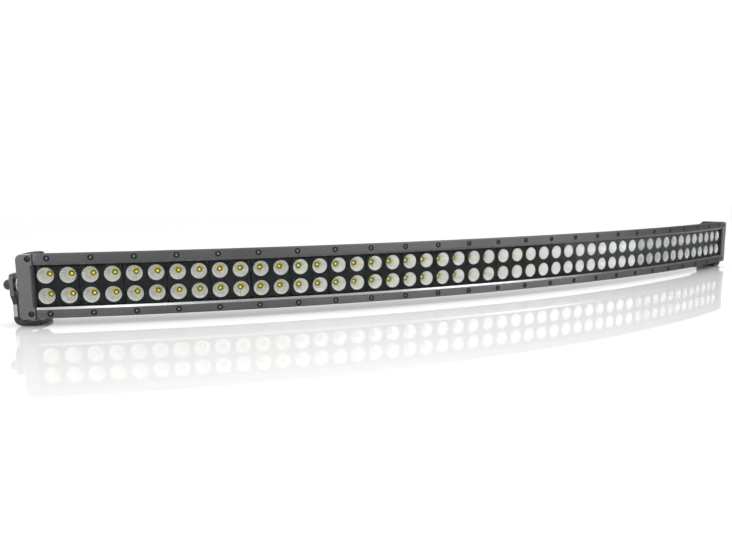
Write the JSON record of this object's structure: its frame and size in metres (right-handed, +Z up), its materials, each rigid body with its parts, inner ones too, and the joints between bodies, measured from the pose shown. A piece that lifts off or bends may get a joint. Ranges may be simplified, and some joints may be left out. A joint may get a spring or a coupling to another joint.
{
  "type": "curved led light bar",
  "caption": "Curved LED light bar with finned aluminium housing, bezel rails, clear lens, cup reflectors, end caps and tilting steel foot brackets.",
  "frame": {"origin": "middle of the bounding box in X and Y, on the plane that the bracket feet stand on", "axes": "+X along the bar towards its right end as seen from behind the light, -Y is the side that the light leaves from, +Z up"},
  "size_m": [1.27, 0.151, 0.0876],
  "materials": {
    "housing_paint": "satin black powder coat",
    "rail_paint": "satin dark grey powder coat",
    "cap_paint": "satin dark grey powder coat",
    "lens_clear": "clear polished polycarbonate",
    "reflector_moulding": "black patterned face with bright metallised cups",
    "led_board": "white solder mask with yellow emitters",
    "driver_board": "green solder mask",
    "black_rubber": "matt",
    "black_plastic": "fine texture",
    "bracket_paint": "satin black powder coat",
    "steel": "bright",
    "black_screw": "black oxide"
  },
  "bodies": {
    "bar": {"housing": "housing_paint", "bezel_rail_upper": "rail_paint", "bezel_rail_lower": "rail_paint", "lens": "lens_clear", "lens_gasket_upper": "black_rubber", "lens_gasket_lower": "black_rubber", "reflector_01": "reflector_moulding", "reflector_02": "reflector_moulding", "reflector_03": "reflector_moulding", "reflector_04": "reflector_moulding", "reflector_05": "reflector_moulding", "reflector_06": "reflector_moulding", "reflector_07": "reflector_moulding", "reflector_08": "reflector_moulding", "reflector_09": "reflector_moulding", "reflector_10": "reflector_moulding", "reflector_11": "reflector_moulding", "reflector_12": "reflector_moulding", "reflector_13": "reflector_moulding", "reflector_14": "reflector_moulding", "reflector_15": "reflector_moulding", "reflector_16": "reflector_moulding", "reflector_17": "reflector_moulding", "reflector_18": "reflector_moulding", "reflector_19": "reflector_moulding", "reflector_20": "reflector_moulding", "reflector_21": "reflector_moulding", "reflector_22": "reflector_moulding", "reflector_23": "reflector_moulding", "reflector_24": "reflector_moulding", "led_board_1": "led_board", "led_board_2": "led_board", "led_board_3": "led_board", "led_board_4": "led_board", "led_board_5": "led_board", "led_board_6": "led_board", "driver_board_left": "driver_board", "driver_board_right": "driver_board", "cable_gland_body": "black_plastic", "cable_gland_nut": "black_plastic", "breather_vent": "black_plastic", "end_gasket_right": "black_rubber", "end_cap_right": "cap_paint", "pivot_bolt_right": "steel", "pivot_washer_inner_right": "steel", "pivot_bush_right": "black_rubber", "pivot_washer_outer_right": "steel", "cap_screw_upper_right": "black_screw", "cap_screw_lower_right": "black_screw", "end_gasket_left": "black_rubber", "end_cap_left": "cap_paint", "pivot_bolt_left": "steel", "pivot_washer_inner_left": "steel", "pivot_bush_left": "black_rubber", "pivot_washer_outer_left": "steel", "cap_screw_upper_left": "black_screw", "cap_screw_lower_left": "black_screw"},
    "bracket_left": {"bracket_left": "bracket_paint"},
    "bracket_right": {"bracket_right": "bracket_paint"}
  },
  "joints": [
    {"name": "tilt_left", "type": "hinge", "parent": "bar", "child": "bracket_left", "pos_m": [-0.6239, 0.04265, 0.0494], "axis": [0.9547, -0.2976, 0], "range_deg": [-15, 15]},
    {"name": "tilt_right", "type": "hinge", "parent": "bar", "child": "bracket_right", "pos_m": [0.6239, 0.04265, 0.0494], "axis": [0.9547, 0.2976, 0], "range_deg": [-15, 15]}
  ]
}
